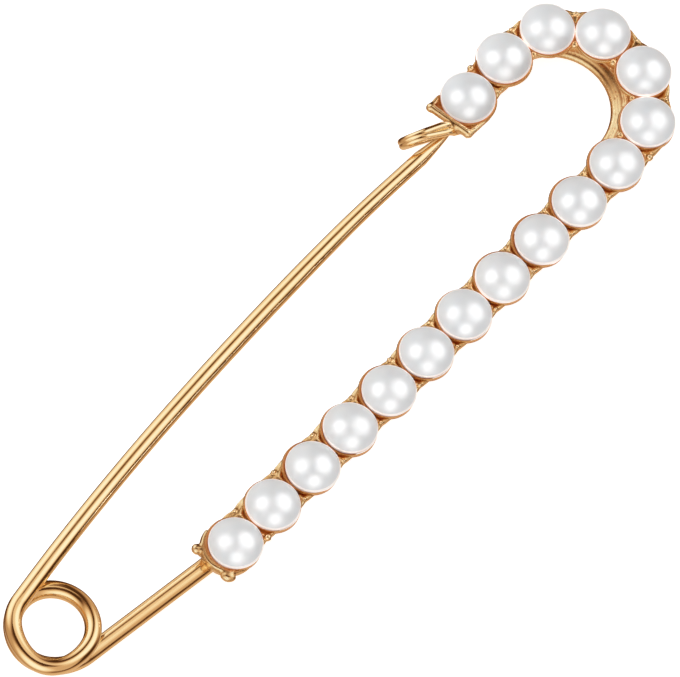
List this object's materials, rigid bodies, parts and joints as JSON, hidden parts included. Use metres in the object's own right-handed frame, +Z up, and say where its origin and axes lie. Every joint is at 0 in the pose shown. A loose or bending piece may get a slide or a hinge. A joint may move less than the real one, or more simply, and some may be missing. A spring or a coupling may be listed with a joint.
{
  "type": "scarf pin",
  "caption": "Scarf pin shaped like a safety pin: a cane-shaped gold setting holds a row of half-round pearls, and a needle sprung by a coil rests in a wire catch.",
  "frame": {"origin": "middle of the brooch's footprint, on the surface that it lies on", "axes": "+X along the brooch from the coil's end to the closed end of the arch, +Y from the straight row towards the needle, +Z up from the setting's back to the pearls"},
  "size_m": [0.0702, 0.016, 0.0043],
  "materials": {
    "setting_gold": "polished yellow-gold plating on a cast setting",
    "wire_gold": "polished yellow-gold plating on round spring wire",
    "pearl": "white pearl lustre"
  },
  "bodies": {
    "brooch": {"setting_frame": "setting_gold", "spring_arm": "wire_gold", "pearl_01": "pearl", "pearl_02": "pearl", "pearl_03": "pearl", "pearl_04": "pearl", "pearl_05": "pearl", "pearl_06": "pearl", "pearl_07": "pearl", "pearl_08": "pearl", "pearl_09": "pearl", "pearl_10": "pearl", "pearl_11": "pearl", "pearl_12": "pearl", "pearl_13": "pearl", "pearl_14": "pearl", "pearl_15": "pearl", "pearl_16": "pearl", "pearl_17": "pearl"},
    "needle": {"pin_needle": "wire_gold"}
  },
  "joints": [
    {"name": "needle_squeeze", "type": "hinge", "parent": "brooch", "child": "needle", "pos_m": [-0.03131, -0.00055, 0.003], "axis": [0, 0, -1], "range_deg": [0, 6.5], "stiffness_Nm_per_rad": 0.7, "springref_deg": -5.73}
  ]
}
